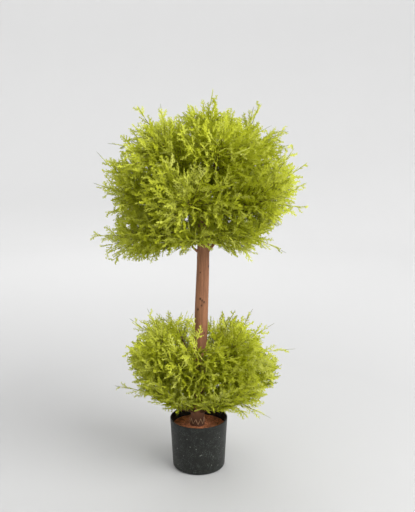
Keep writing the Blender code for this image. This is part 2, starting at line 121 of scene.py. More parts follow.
# Bark: scale across the trunk, scale along it and height of its swell, grain and fine grain
BARK_NOISES = ((42, 13, 0.0006), (340, 20, 0.00030), (900, 46, 0.00014))
BARK_SINK = 0.0003
# Painted shade in the bark's grooves: the depth of the deepest groove, and the share of shade it
# gets
GROOVE_DEPTH = 0.00044
GROOVE_SHADE = 0.45
BARK_DARK = (126, 82, 57)
BARK_LIGHT = (174, 122, 89)
BARK_BLOTCH = (112, 74, 55)
BARK_FLECK = (84, 56, 42)
# Colour of the painted shade in the grooves, and of the knots' dark scars
BARK_GROOVE_SHADE_AND_SCAR = (52, 33, 25)
BARK_FOOT = (74, 50, 38)
# Knots: azimuth on the trunk in degrees, height, radius of the scar
KNOTS = (
    (-104, 0.4220, 0.0030),
    (-88, 0.4180, 0.0026),
    (-70, 0.4140, 0.0028),
    (-90, 0.4060, 0.0022),
    (-122, 0.3960, 0.0030),
    (-60, 0.3390, 0.0022),
    (-112, 0.4850, 0.0020),
    (40, 0.2860, 0.0034),
    (150, 0.3620, 0.0036),
    (95, 0.4470, 0.0030),
    (-30, 0.4980, 0.0030),
    (200, 0.2440, 0.0030),
    (70, 0.1640, 0.0028),
)
KNOT_STRETCH = 1.5
KNOT_REACH = 4
KNOT_SWELL = 0.0009
KNOT_PIT = 0.0016
PIT_SHARPNESS = 2.2
SCAR_SHARPNESS = 1.25

# Stubs of cut twigs: azimuth in degrees, height of the root, length, radius, climb in degrees.
# A tube here has segments and sides, a taper the shares of its radius at root and tip.
STUBS = (
    (-172, 0.531, 0.020, 0.0026, 42),
    (-20, 0.532, 0.026, 0.0019, 50),
    (-64, 0.541, 0.016, 0.0016, 38),
    (20, 0.536, 0.022, 0.0024, 45),
    (110, 0.534, 0.020, 0.0022, 40),
    (-125, 0.545, 0.014, 0.0018, 35),
    (60, 0.180, 0.014, 0.0022, 40),
    (-150, 0.150, 0.014, 0.0022, 35),
)
STUB_TUBE = (8, 10)
STUB_TAPER = (1.25, 0.8)
STUB_SUNK = 0.003
STUB_SAG = 0.0015

# The frayed edge round the foot: heights of its low and high points, degrees between them
FIBRE_LOWS = (0.108, 0.112)
FIBRE_HIGHS = (0.119, 0.126)
FIBRE_TURNS = (14, 24)
FIBRE_LAST = 340
FIBRE_TUBE = (4, 6)
FIBRE_TAPER = (1.3, 0.8)
FIBRE_RADIUS = 0.0006
FIBRE_COLOUR = (214, 172, 136)

# How far the surface of boughs, stubs and fibres strays, and the scale of its strays
ROUGHNESS = 0.0005
STUB_ROUGHNESS = 0.0004
ROUGH_SCALE = 260

# Boughs and stems
BOUGH_ROOT_RADIUS = 0.0050
BOUGH_TIP_RADIUS = 0.0031
BOUGH_SHARE = 0.34
BOUGH_SAG = 0.10
BOUGH_RINGS = 3
STEM_TIP_RADIUS = 0.0012
STEM_SHARE = 0.62
STEM_SHORTEST = 0.040
STEM_RINGS = 4
LIMB_SIDES = 12
LIMB_RINGS = 26
LIMB_TAPER = 0.8
COLLAR_SHARE = 0.5
COLLAR_SHARPNESS = 10
BOUGH_DARK = (66, 45, 28)
BOUGH_LIGHT = (112, 80, 50)

# Plumes, as in the solids
PLUME_BEND = 0.42
PLUME_TURN = 0.75
TIP_SHARE = 0.14
PLUME_ROOTS = (0.06, 0.92)
PLUME_SPREAD = radians(75)
ROOT_STRAY = 0.06
PLUME_LENGTHS = (0.86, 1.0)
AZIMUTH_STRAY = 4
ELEVATION_STRAY = 3
LIMB_MARGIN = 0.0015
CLEAR_SHARES = (0.4, 0.7, 1.0)

Ring = namedtuple("Ring", "name count root azimuth radius height")
TIER_FIELDS = "name heart rings right left fore plumes front side back fillers shoots"
Tier = namedtuple("Tier", TIER_FIELDS)
Limb = namedtuple("Limb", "name title path seed is_bough")

# A tier's tables hold (elevation in degrees, reach), its shoots (azimuth, elevation, reach)
UPPER = Tier(
    name="upper",
    heart=0.601,
    rings=(
        Ring("low", 6, 0.562, 18, 0.140, 0.574),
        Ring("middle", 5, 0.618, 42, 0.140, 0.655),
        Ring("high", 4, 0.665, 20, 0.085, 0.760),
        Ring("top", 1, 0.700, 0, 0.0, 0.800),
    ),
    right=(
        (-60, 0.090), (-45, 0.106), (-36, 0.146), (-25, 0.152), (-8, 0.162), (5, 0.208),
        (15, 0.236), (25, 0.262), (45, 0.290), (90, 0.292),
    ),
    left=(
        (-60, 0.080), (-38, 0.090), (-31, 0.126), (-25, 0.226), (-17, 0.250), (-8, 0.244),
        (5, 0.236), (20, 0.254), (35, 0.286), (50, 0.296), (90, 0.290),
    ),
    fore=(
        (-60, 0.058), (-45, 0.066), (-30, 0.084), (-20, 0.106), (-10, 0.152), (-4, 0.200),
        (10, 0.218), (25, 0.252), (45, 0.280), (90, 0.286),
    ),
    plumes=129,
    front=(-42, 90),
    side=(-42, 90),
    back=(-36, 90),
    fillers=850,
    shoots=(
        (0, 86, 0.297), (180, 70, 0.285), (180, 60, 0.306), (176, 33, 0.295),
        (184, 20, 0.268), (180, -7, 0.269), (182, -23, 0.237), (0, 30, 0.272), (4, 20, 0.254),
        (-3, 8, 0.240), (0, -21, 0.205), (10, 46, 0.286), (-8, 65, 0.298), (178, -14, 0.252),
        (184, -18, 0.246), (178, 39, 0.284),
    ),
)

LOWER = Tier(
    name="lower",
    heart=0.170,
    rings=(
        Ring("low", 5, 0.138, -54, 0.106, 0.176),
        Ring("high", 5, 0.198, -18, 0.070, 0.290),
    ),
    right=(
        (-20, 0.115), (-5, 0.122), (2, 0.134), (13, 0.195), (18, 0.238), (25, 0.240),
        (40, 0.228), (60, 0.240), (80, 0.236),
    ),
    left=(
        (-20, 0.045), (-5, 0.050), (4, 0.082), (12, 0.128), (20, 0.178), (30, 0.216),
        (40, 0.236), (55, 0.246), (80, 0.236),
    ),
    fore=(
        (12, 0.100), (22, 0.180), (32, 0.225), (45, 0.248), (75, 0.232),
    ),
    plumes=43,
    front=(12, 52),
    side=(-6, 77),
    back=(-16, 52),
    fillers=440,
    shoots=(
        (0, 46, 0.264), (180, 51, 0.258), (2, -10, 0.150), (-12, -17, 0.130), (0, 28, 0.266),
        (0, 60, 0.260), (-4, -15, 0.184), (180, 62, 0.256), (180, 9, 0.206), (258, 74, 0.232),
        (-88, 25, 0.150), (-66, 26, 0.195), (-112, 26, 0.190),
    ),
)

TIERS = (UPPER, LOWER)

# Shorter plumes that fill the crown, chosen from more places than are needed
FILLER_OPTIONS = 3200
FILLER_SHARES = (0.12, 0.89)
FILLER_OFFSET = 67
FILLER_NEARNESS = 0.020
FILLER_ANGLE = radians(40)
FILLER_STRAY = 0.25
FILLER_SHORTEST = 0.035
FILLER_ROOTS = (0.1, 0.98)
SHORTNESS_PENALTY = 9
LINE_STEPS = 40
LEAFY_SAMPLES = 6

# The leafy end of a plume, the bare tip that some have, and its inner stretch
LEAFY_LENGTHS = (0.080, 0.110)
FILLER_LEAFY = 0.050
LEAFY_FROM = (0.06, 0.9)
BARE_TIPS = 0.3
BARE_LONGEST = 0.022
BARE_LENGTHS = (0.6, 1.0)
INNER_FROM = (0.1, 0.8)
INNER_SPAN = (0.25, 1.4)
INNER_END = 0.8
LEAF_MARGIN = 0.002

# Levels of growth along their parents. They stand a step apart, each turned round its parent
# from the last, and lean from it at an angle. Turn, angle and length all stray.
Level = namedtuple("Level", "step turn roll angle stray curl lengths")
FROND = Level(0.0125, pi * GOLDEN_TURN, 0.4, radians(44), radians(16), 0.35, (0.75, 1.1))
TWIG = Level(0.0045, pi, 0.3, radians(50), radians(12), 0.25, (0.75, 1.1))
LEAF = Level(0.00175, pi, 0.4, radians(38), 0.2, 0.4, (0.78, 1.15))
INNER_LEAF = Level(0.0034, pi * GOLDEN_TURN, 0.4, radians(55), 0.2, 0.4, (0.012, 0.019))
STEP_STRAY = (0.1, 0.9)
FROND_END = 0.97
FROND_RATIO = 0.62
FROND_LONGEST = 0.040
FROND_SWELL = 0.30
FROND_FALL = 0.93
TIP_FROND_SHARE = 0.8
TIP_FROND_FROM = 0.2
TWIG_SPAN = (0.08, 0.93)
TWIG_RATIO = 0.36
TWIG_LONGEST = 0.0140
TWIG_SHORTEST = 0.0040
TWIG_TAPER_END = 1.02
LONG_TWIG = 0.014
LEAF_RATIO = 0.46
LEAF_SIZES = (0.0032, 0.0050)
LEAF_SPAN = (0.1, 1.0)
LEAF_WAIST = 0.45
LEAF_FOLD = 0.35
LEAF_TIP_SHARE = 0.6

# Tubes: segments, sides, radius at the root and at the tip
PLUME_TUBE = (8, 3, 0.0012, 0.0006)
BARE_TIP_TUBE = (4, 3, 0.0007, 0.0004)
FROND_TUBE = (2, 3, 0.0009, 0.0)
TWIG_TUBE = (1, 3, 0.0008, 0.0)

# Foliage tints from dark to pale: colour, width of a leaf. Tints differ at random from spray
# to spray; the darker ones also paint shade on the inner sprays, and the palest, bluer one is
# partly a painted highlight.
TINTS = (
    ((174, 181, 32), 0.0046),
    ((185, 191, 41), 0.0036),
    ((193, 199, 55), 0.0028),
    ((199, 204, 76), 0.0024),
    ((205, 209, 98), 0.0021),
)
TWIG_COLOUR = (112, 108, 40)
BARE_TIP_COLOUR = (132, 134, 96)
# Where plumes lie among the tints: mean and spread, and the gain for ending further out than
# usual, which paints shade on plumes that end deep in the crown and light on outer ones. Then
# the stray of fronds, and the gains along a plume, of its last frond and of twigs; the gains
# along a plume and of its last frond paint light towards the tips.
PLUME_TINT = (2.1, 0.6)
DEPTH_SHADE_GAIN = 2.0
MEAN_DEPTH = 0.85
FROND_TINT_STRAY = 0.5
FROND_LIGHT_GAIN = 0.9
TIP_LIGHT_GAIN = 0.3
TWIG_TINT_GAIN = 0.2

# Stage: steps round it, length of its flat floor, radius of its curve, its top, rings on the
# floor and the curve, and its greys at distances from the plant, paler towards the far wall
# as painted light
STAGE_STEPS = 96
STAGE_FLOOR = 3.2
STAGE_CURVE = 1.6
STAGE_TOP = 5.0
STAGE_RINGS = (8, 10)
STAGE_GREYS = ((0.15, 183), (0.8, 182), (3.4, 211))

# Lights: name, place, aim, width of the disk, power in watts
HEART = (0.0, 0.0, 0.5)
LIGHTS = (
    ("key", (2.3, -1.6, 2.45), HEART, 3.0, 138),
    ("fill", (-2.2, -1.8, 1.6), HEART, 2.0, 6),
    ("back", (-0.6, 2.6, 2.2), HEART, 1.8, 22),
    ("backdrop", (0.0, 1.6, 4.2), (0.0, 4.2, 0.3), 3.0, 26),
)
WORLD_STRENGTH = 1.14

# Camera: where it stands, how far it looks down, and its lens on a 36 mm sensor
CAMERA_PLACE = (0.0213, -1.625, 0.837)
CAMERA_DIP = radians(11.01)
CAMERA_LENS = 50


# ---- helpers


def mix(a, b, share):
    return a + (b - a) * share


def between(knots, value):
    """Straight-line reading of a table of (position, value) pairs, for one value or many."""
    places, values = zip(*knots)
    return np.interp(value, places, values)


def direction(azimuth, elevation):
    """Unit vector from an azimuth round +Z and an elevation, both in degrees."""
    turn = radians(azimuth)
    rise = radians(elevation)
    flat = cos(rise)
    return Vector((flat * cos(turn), flat * sin(turn), sin(rise)))


def bend(start, middle, end, count):
    """Points along a quadratic curve, ends included."""
    points = []
    for step in range(count + 1):
        t = step / count
        points.append(start * (1 - t) ** 2 + middle * (2 * t * (1 - t)) + end * t**2)
    return points


def linear(srgb):
    """An sRGB colour of 0 to 255 as linear values, with alpha."""
    values = []
    for channel in srgb:
        share = channel / 255
        values.append(share / 12.92 if share <= 0.04045 else ((share + 0.055) / 1.055) ** 2.4)
    return (*values, 1.0)


def unit(vectors):
    return vectors / np.linalg.norm(vectors, axis=-1, keepdims=True)


def square_to(vectors, axes):
    """The vectors with what lies along the axes taken out, as unit vectors."""
    return unit(vectors - axes * (vectors * axes).sum(axis=-1, keepdims=True))


def across(axes):
    """Unit vectors square to the axes, level where they can be."""
    side = np.cross(axes, (0, 0, 1))
    steep = np.linalg.norm(side, axis=-1) < 0.05
    side[steep] = np.cross(axes[steep], (0, 1, 0))
    return unit(side)


def roughened(vertices, amount):
    """The vertices, each moved a little by a smooth noise."""
    points = [Vector(vertex) for vertex in vertices]
    return np.array([point + noise.noise_vector(point * ROUGH_SCALE) * amount for point in points])


def stacked(parts):
    """Several (vertices, faces) pairs as one."""
    firsts = np.cumsum([0] + [len(vertices) for vertices, _ in parts])
    faces = [np.array(corners) + first for (_, corners), first in zip(parts, firsts)]
    return np.concatenate([vertices for vertices, _ in parts]), np.concatenate(faces)


def scene_object(name, data):
    thing = bpy.data.objects.new(name, data)
    bpy.context.scene.collection.objects.link(thing)
    return thing


def mesh_object(name, vertices, faces, material, is_smooth=False):
    mesh = bpy.data.meshes.new(name)
    mesh.from_pydata(vertices, [], faces)
    if is_smooth:
        mesh.shade_smooth()
    mesh.materials.append(material)
    return scene_object(name, mesh)


def stand_for(piece, slot, *nodes):
    """Give the piece to the root body and hide the solids it replaces. The slot is not used."""
    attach(piece, "root")
    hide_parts(*nodes)


# ---- materials
#
# patches takes a low and a high level, then what noise takes: scale, detail, roughness and
# distortion. dots takes two distances and a scale, bumps a height and a strength, then noise's.


class Finish:
    """A Principled material whose pattern nodes are made and joined by short calls."""

    def __init__(self, name, roughness=0.6, specular=0.5, colour=None):
        self.material = bpy.data.materials.new(name)
        self.material.use_nodes = True
        self.tree = self.material.node_tree
        self.sockets = self.tree.nodes["Principled BSDF"].inputs
        self.give("Roughness", roughness)
        self.give("Specular IOR Level", specular)
        if colour:
            self.give("Base Color", colour)

    def feed(self, socket, value):
        """Join another node's output to the socket, or set the socket to a plain value."""
        if isinstance(value, bpy.types.NodeSocket):
            self.tree.links.new(value, socket)
        else:
            socket.default_value = value

    def give(self, name, value):
        self.feed(self.sockets[name], value)

    def node(self, kind, *values, operation=None, **named_values):
        """A new node whose inputs are fed in order or by name."""
        node = self.tree.nodes.new("ShaderNode" + kind)
        if operation:
            node.operation = operation
        for index, value in enumerate(values):
            self.feed(node.inputs[index], value)
        for name, value in named_values.items():
            self.feed(node.inputs[name], value)
        return node

    def place(self, stretch=1):
        """The object's own coordinates, in metres, times one scale or a scale for each axis."""
        scale = stretch if isinstance(stretch, tuple) else (stretch,) * 3
        coordinates = self.node("TexCoord").outputs["Object"]
        return self.node("Mapping", coordinates, Scale=scale).outputs["Vector"]

    def noise(self, stretch, detail=3.0, roughness=0.55, distortion=0.0):
        node = self.node("TexNoise", self.place(stretch), Scale=1.0, Detail=detail)
        self.feed(node.inputs["Roughness"], roughness)
        self.feed(node.inputs["Distortion"], distortion)
        return node.outputs["Fac"]

    def patches(self, low, high, stretch, *args):
        """A share that rises from 0 to 1 between a low and a high level of noise."""
        return self.between(self.noise(stretch, *args), low, high)

    def dots(self, inner, outer, stretch):
        """A share that falls from 1 to 0 between two distances from scattered points."""
        cells = self.node("TexVoronoi", self.place(stretch), Scale=1.0)
        return self.between(cells.outputs["Distance"], inner, outer, 1.0, 0.0)

    def height(self):
        """The surface point's own height on the plant."""
        return self.node("SeparateXYZ", self.place()).outputs["Z"]

    def spread(self):
        """The surface point's distance from the plant's foot."""
        return self.node("VectorMath", self.place(), operation="LENGTH").outputs["Value"]

    def attribute(self, name):
        node = self.node("Attribute")
        node.attribute_name = name
        return node.outputs["Fac"]

    def between(self, value, low, high, start=0.0, end=1.0):
        """The value spread from low..high to start..end, and held at the ends."""
        return self.node("MapRange", value, low, high, start, end).outputs["Result"]

    def times(self, first, second):
        return self.node("Math", first, second, operation="MULTIPLY").outputs["Value"]

    def plus(self, first, second):
        return self.node("Math", first, second, operation="ADD").outputs["Value"]

    def blend(self, share, first, second):
        """A colour between two colours or colour outputs, by share."""
        node = self.node("Mix", share)
        node.data_type = "RGBA"
        inlets = [socket for socket in node.inputs if socket.type == "RGBA"]
        self.feed(inlets[0], first)
        self.feed(inlets[1], second)
        return next(socket for socket in node.outputs if socket.type == "RGBA")

    def bumps(self, distance, strength, stretch, *args):
        """Bumps of a height from noise."""
        height = self.noise(stretch, *args)
        node = self.node("Bump", Height=height, Distance=distance, Strength=strength)
        self.give("Normal", node.outputs["Normal"])


def pot_finish():
    """Black recycled plastic: mottled, with fine grey flecks and a few pale specks."""
    finish = Finish("pot_plastic", specular=0.35)
    mottle = finish.patches(0.35, 0.68, 190, 4.0, 0.65)
    base = finish.blend(mottle, linear(POT_DARK), linear(POT_LIGHT))
    fine = finish.dots(0.14, 0.30, 560)
    patch = finish.patches(0.38, 0.60, 70, 2.0)
    flecked = finish.blend(finish.times(fine, patch), base, linear(POT_FLECK))
    pale = finish.dots(0.045, 0.08, 95)
    finish.give("Base Color", finish.blend(pale, flecked, linear(POT_SPECK)))
    finish.give("Roughness", finish.between(finish.noise(400, 2.0), 0.3, 0.7, 0.36, 0.58))
    finish.bumps(0.00035, 0.55, 650, 3.0, 0.6)
    return finish.material


def fill_finish(name, low, high):
    """Rough red-brown grit, redder in patches."""
    finish = Finish(name, roughness=0.92, specular=0.25)
    grain = finish.patches(0.3, 0.7, 900, 3.0, 0.7)
    patch = finish.patches(0.38, 0.62, 75, 2.0)
    tone = finish.plus(finish.times(grain, 0.55), finish.times(patch, 0.45))
    finish.give("Base Color", finish.blend(tone, linear(low), linear(high)))
    finish.bumps(0.0006, 0.8, 1100, 3.0, 0.7)
    return finish.material


def bark_finish():
    """Smooth red-brown wood with upright grain, dark at the knots and at the foot, with painted
    shade in the grooves.
    """
    finish = Finish("bark", specular=0.35)
    streak = finish.patches(0.3, 0.7, (420, 420, 16), 5.0, 0.6, 0.4)
    wood = finish.blend(streak, linear(BARK_DARK), linear(BARK_LIGHT))
    blotch = finish.times(finish.patches(0.40, 0.66, (60, 60, 18)), 0.5)
    fleck = finish.times(finish.patches(0.60, 0.74, (900, 900, 120), 2.0), 0.55)
    # Painted shade in the grooves, and the knots' dark scars
    hollow = finish.between(finish.attribute("hollow"), 0.15, 1.0)
    foot = finish.between(finish.height(), 0.112, 0.150, 0.75, 0.0)
    marks = (
        (blotch, BARK_BLOTCH),
        (fleck, BARK_FLECK),
        (hollow, BARK_GROOVE_SHADE_AND_SCAR),
        (foot, BARK_FOOT),
    )
    for share, srgb in marks:
        wood = finish.blend(share, wood, linear(srgb))
    finish.give("Base Color", wood)
    finish.give("Roughness", finish.between(streak, 0.0, 1.0, 0.62, 0.78))
    finish.bumps(0.0005, 0.6, (800, 800, 40), 4.0, 0.6)
    return finish.material


def bough_finish():
    finish = Finish("bough_bark", roughness=0.75, specular=0.3)
    grain = finish.patches(0.3, 0.7, 600, 4.0, 0.6)
    finish.give("Base Color", finish.blend(grain, linear(BOUGH_DARK), linear(BOUGH_LIGHT)))
    finish.bumps(0.0004, 0.6, 1200, 3.0, 0.6)
    return finish.material


def plain(name, srgb, roughness=0.6, specular=0.4):
    return Finish(name, roughness, specular, linear(srgb)).material


# ---- pot and fill


def arc(centre, radius, first, last, steps):
    """Points of a round corner in a profile, angles in degrees."""
    points = []
    for step in range(steps + 1):
        angle = radians(mix(first, last, step / steps))
        points.append((centre[0] + radius * cos(angle), centre[1] + radius * sin(angle)))
    return points


def straight(first, last, steps):
    """Points of a straight run in a profile, without its last point."""
    shares = [step / steps for step in range(steps)]
    return [(mix(first[0], last[0], share), mix(first[1], last[1], share)) for share in shares]


def turned(name, profile, steps, material, shift=None, is_open=False):
    """A form turned round Z from a profile of (radius, height) that starts on Z.

    A closed one ends on Z as well.
    """
    rings = profile[1:] if is_open else profile[1:-1]
    vertices = [(0, 0, profile[0][1])]
    for radius, height in rings:
        for step in range(steps):
            turn = 2 * pi * step / steps
            vertices.append((radius * cos(turn), radius * sin(turn), height))
    last = len(vertices)
    if not is_open:
        vertices.append((0, 0, profile[-1][1]))
    if shift:
        vertices = [shift(Vector(vertex)) for vertex in vertices]
    faces = []
    for step in range(steps):
        after = (step + 1) % steps
        faces.append((0, 1 + step, 1 + after))
        for low in range(1, last - steps, steps):
            high = low + steps
            faces.append((low + step, high + step, high + after, low + after))
        if not is_open:
            faces.append((last, last - steps + after, last - steps + step))
    return mesh_object(name, vertices, faces, material, is_smooth=True)


def pot_radius(height):
    return mix(POT_FOOT_RADIUS, POT_RIM_RADIUS, height / POT_HEIGHT)


def build_pot():
    lip = POT_HEIGHT - POT_RIM_ROUNDING
    lip_outer = (pot_radius(lip) - POT_RIM_ROUNDING, lip)
    lip_inner = (pot_radius(lip) - POT_WALL + POT_RIM_ROUNDING, lip)
    foot = (POT_FOOT_RADIUS - POT_FOOT_ROUNDING, POT_FOOT_ROUNDING)
    corner = (pot_radius(POT_FOOT_ROUNDING) - POT_WALL, POT_FLOOR + POT_FOOT_ROUNDING / 2)
    inner = (pot_radius(POT_FLOOR) - POT_WALL - POT_FOOT_ROUNDING / 2, POT_FLOOR)
    profile = [(0, POT_FLOOR), inner]
    profile += straight(corner, (lip_inner[0] - POT_RIM_ROUNDING, lip), WALL_STEPS[0])
    profile += arc(lip_inner, POT_RIM_ROUNDING, 180, 90, RIM_STEPS)
    profile += arc(lip_outer, POT_RIM_ROUNDING, 90, 0, RIM_STEPS)
    outer = ((pot_radius(lip), lip), (POT_FOOT_RADIUS, POT_FOOT_ROUNDING))
    profile += straight(*outer, WALL_STEPS[1])[1:]
    profile += arc(foot, POT_FOOT_ROUNDING, 0, -90, FOOT_STEPS)
    profile.append((0, 0))
    pot = turned("pot_shell", profile, POT_STEPS, pot_finish())
    pot.data.set_sharp_from_angle(angle=SHARP_ANGLE)
    stand_for(pot, "pot", "pot")


def fill_height(x, y):
    """Top of the fill: lumpy, drawn up a little at the wall and in a mound round the trunk."""
    lumps, grit = (
        noise.noise(Vector((x * scale, y * scale, seed))) * height
        for scale, seed, height in (FILL_LUMPS, FILL_GRIT)
    )
    edge = hypot(x, y) / (pot_radius(FILL_TOP) - POT_WALL)
    wall = FILL_WALL_RISE * max(0.0, edge - FILL_WALL_SHARE) / (1 - FILL_WALL_SHARE)
    foot = hypot(x - TRUNK_FOOT_X, y)
    mound = MOUND_HEIGHT * exp(-(((foot - MOUND_RADIUS) / MOUND_WIDTH) ** 2))
    return FILL_TOP - FILL_SINK + lumps + grit + wall + mound


def build_fill():
    bottom = POT_FLOOR + GAP
    top_radius = pot_radius(FILL_TOP) - POT_WALL - 2 * GAP
    corner = (pot_radius(POT_FOOT_ROUNDING) - POT_WALL - 2 * GAP, bottom + POT_FOOT_ROUNDING / 2)
    foot_radius = pot_radius(POT_FLOOR) - POT_WALL - POT_FOOT_ROUNDING / 2 - GAP

    def lump(vertex):
        if vertex.z >= FILL_TOP - GAP:
            vertex.z = fill_height(vertex.x, vertex.y)
        return vertex

    profile = straight((0, FILL_TOP), (top_radius, FILL_TOP), FILL_RINGS)
    profile += [(top_radius, FILL_TOP), (top_radius, FILL_TOP - FILL_SIDE)]
    profile += [corner, (foot_radius, bottom), (0, bottom)]
    material = fill_finish("fill_grit", FILL_DARK, FILL_LIGHT)
    fill = turned("fill_surface", profile, FILL_STEPS, material, lump)
    stand_for(fill, "fill", "fill")


def build_granules():
    """Loose grit on the fill: small uneven lumps, and a few pale specks."""
    rng = random.Random(f"{SEED} granules")
    limit = pot_radius(FILL_TOP) - POT_WALL - GRANULE_MARGIN
    for name, count, sizes, srgb in GRANULES:
        vertices = []
        faces = []
        for _ in range(count):
            radius = limit * sqrt(rng.random())
            turn = rng.uniform(0, 2 * pi)
            x = radius * cos(turn)
            y = radius * sin(turn)
            size = rng.uniform(*sizes)
            if hypot(x - TRUNK_FOOT_X, y) < TRUNK_RADII[0][1] + size:
                continue
            centre = Vector((x, y, fill_height(x, y) + size * GRANULE_LIFT))
            add_lump(vertices, faces, centre, size, rng)
        if name == "fill_pale_specks":
            material = plain(name, srgb, roughness=0.7)
        else:
            low = tuple(channel * GRANULE_SHADE for channel in srgb)
            material = fill_finish(name, low, srgb)
        stand_for(mesh_object(name, vertices, faces, material), "fill", "fill")


def add_lump(vertices, faces, centre, size, rng):
    """An uneven eight-faced lump."""
    first = len(vertices)
    for axis in (Vector((1, 0, 0)), Vector((0, 1, 0)), Vector((0, 0, GRANULE_FLATNESS))):
        for sign in (1, -1):
            stray = Vector([rng.uniform(-1, 1) for _ in range(3)]) * GRANULE_STRAY
            vertices.append(centre + (axis * sign + stray) * size)
    for x in (0, 1):
        for y in (2, 3):
            for z in (4, 5):
                corners = (first + x, first + y, first + z)
                is_flipped = (x + y + z) % 2 == 1
                faces.append(corners[::-1] if is_flipped else corners)


# ---- trunk


def trunk_centre(height):
    rise = height - FILL_TOP
    share = rise / (TRUNK_TOP - FILL_TOP)
    x = TRUNK_FOOT_X + tan(TRUNK_LEAN) * rise + TRUNK_BOW * sin(pi * share)
    return Vector((x, 0, height))


def bark_relief(point, turn, height, radius):
    """How far the bark stands out of the trunk's plain surface, and how dark it is there: painted
    shade in the grooves and the knots' dark scars.
    """
    swell, grain, fine = (
        noise.noise(Vector((point.x * wide, point.y * wide, height * tall))) * amount
        for wide, tall, amount in BARK_NOISES
    )
    relief = swell + grain + fine
    # Painted shade, darker in the deeper grooves
    hollow = max(0.0, -(grain + fine) / GROOVE_DEPTH) * GROOVE_SHADE
    for azimuth, knot_height, size in KNOTS:
        drop = (height - knot_height) / KNOT_STRETCH
        if abs(drop) > KNOT_REACH * size:
            continue
        swing = (turn - radians(azimuth) + pi) % (2 * pi) - pi
        apart = hypot(swing * radius, drop) / size
        pit = KNOT_PIT * exp(-((apart * PIT_SHARPNESS) ** 2))
        relief += KNOT_SWELL * exp(-(apart**2) / 2) - pit
        # A knot's scar is dark
        hollow = max(hollow, exp(-((apart * SCAR_SHARPNESS) ** 4)))
    return relief, hollow


def build_trunk(material):
    """The trunk with its bark's relief, from under the fill to a blunt top."""
    bottom = FILL_TOP - TRUNK_SUNK
    rows = int((TRUNK_TOP - bottom) / TRUNK_RING_STEP)
    vertices = []
    groove_shades_and_scars = []
    for row in range(rows + 1):
        height = mix(bottom, TRUNK_TOP, row / rows)
        centre = trunk_centre(height)
        radius = between(TRUNK_RADII, height)
        for step in range(TRUNK_SIDES):
            turn = 2 * pi * step / TRUNK_SIDES
            out = Vector((cos(turn), sin(turn), 0))
            relief, hollow = bark_relief(out * radius, turn, height, radius)
            vertices.append(centre + out * (radius + relief - BARK_SINK))
            groove_shades_and_scars.append(hollow)
    faces = []
    top = rows * TRUNK_SIDES
    for low in range(0, top, TRUNK_SIDES):
        high = low + TRUNK_SIDES
        for step in range(TRUNK_SIDES):
            after = (step + 1) % TRUNK_SIDES
            faces.append((low + step, low + after, high + after, high + step))
    faces.append(tuple(reversed(range(TRUNK_SIDES))))
    faces.append(tuple(range(top, top + TRUNK_SIDES)))
    trunk = mesh_object("trunk_bark", vertices, faces, material, is_smooth=True)
    attribute = trunk.data.attributes.new("hollow", "FLOAT", "POINT")
    attribute.data.foreach_set("value", np.array(groove_shades_and_scars, np.float32))
    stand_for(trunk, "bark", "trunk")


def build_bark_tubes(name, starts, ends, lift, tube, roughness, material):
    """Rough tubes on the trunk, each lifted a little in the middle."""
    curves = Curves(starts, (starts + ends) / 2 + lift, ends)
    vertices, faces = tubes(curves, *tube, is_blunt=True)
    piece = mesh_object(name, roughened(vertices, roughness), faces, material, True)
    stand_for(piece, "bark", "trunk")


def build_stubs(material):
    """Short cut twigs round the trunk where the foliage starts."""
    starts, ends = [], []
    for azimuth, height, length, _, climb in STUBS:
        radius = between(TRUNK_RADII, height) - STUB_SUNK
        starts.append(trunk_centre(height) + direction(azimuth, 0) * radius)
        ends.append(starts[-1] + direction(azimuth, climb) * length)
    lift = np.array((0, 0, -STUB_SAG))
    radii = np.array([radius for _, _, _, radius, _ in STUBS])
    tube = (*STUB_TUBE, *(radii * share for share in STUB_TAPER))
    starts, ends = np.array(starts), np.array(ends)
    build_bark_tubes("trunk_stubs", starts, ends, lift, tube, STUB_ROUGHNESS, material)


def build_fibres():
    """A frayed edge of pale fibres round the foot of the trunk, drawn to uneven points."""
    rng = random.Random(f"{SEED} fibres")
    corners = []
    turn = 0.0
    while turn < FIBRE_LAST:
        low, high = FIBRE_HIGHS if len(corners) % 2 else FIBRE_LOWS
        level = rng.uniform(low, high)
        out = direction(turn, 0) * (between(TRUNK_RADII, level) + FIBRE_RADIUS)
        corners.append(trunk_centre(level) + out)
        turn += rng.uniform(*FIBRE_TURNS)
    starts, ends = np.array(corners), np.array(corners[1:] + corners[:1])
    lift = unit((starts + ends) / 2 - np.array(trunk_centre(FIBRE_LOWS[0]))) * FIBRE_RADIUS
    tube = (*FIBRE_TUBE, *(FIBRE_RADIUS * share for share in FIBRE_TAPER))
    material = plain("trunk_fibre", FIBRE_COLOUR, roughness=0.8)
    build_bark_tubes("trunk_fibres", starts, ends, lift, tube, ROUGHNESS, material)


# ---- curves and tubes


class Curves:
    """Many quadratic curves at once, one row each, with a direction square to each for rolls."""

    def __init__(self, start, middle, end, side=None):
        self.start = start
        self.middle = middle
        self.end = end
        self.side = across(unit(end - start)) if side is None else side
        self.length = np.linalg.norm(end - start, axis=1)
        self.count = len(start)

    def points(self, share, rows=slice(None)):
        t = share[:, None]
        start = self.start[rows] * (1 - t) ** 2
        return start + self.middle[rows] * (2 * t * (1 - t)) + self.end[rows] * t**2

    def axes(self, share, rows=slice(None)):
        t = share[:, None]
        first = self.middle[rows] - self.start[rows]
        second = self.end[rows] - self.middle[rows]
        return unit(first * (1 - t) + second * t)

    def only(self, rows):
        return Curves(self.start[rows], self.middle[rows], self.end[rows], self.side[rows])

    def part(self, first, last):
        """The stretch of each curve between two shares, as curves."""
        first = np.broadcast_to(first, self.count)
        last = np.broadcast_to(last, self.count)
        start = self.points(first)
        end = self.points(last)
        middle = 2 * self.points((first + last) / 2) - (start + end) / 2
        return Curves(start, middle, end, self.side)


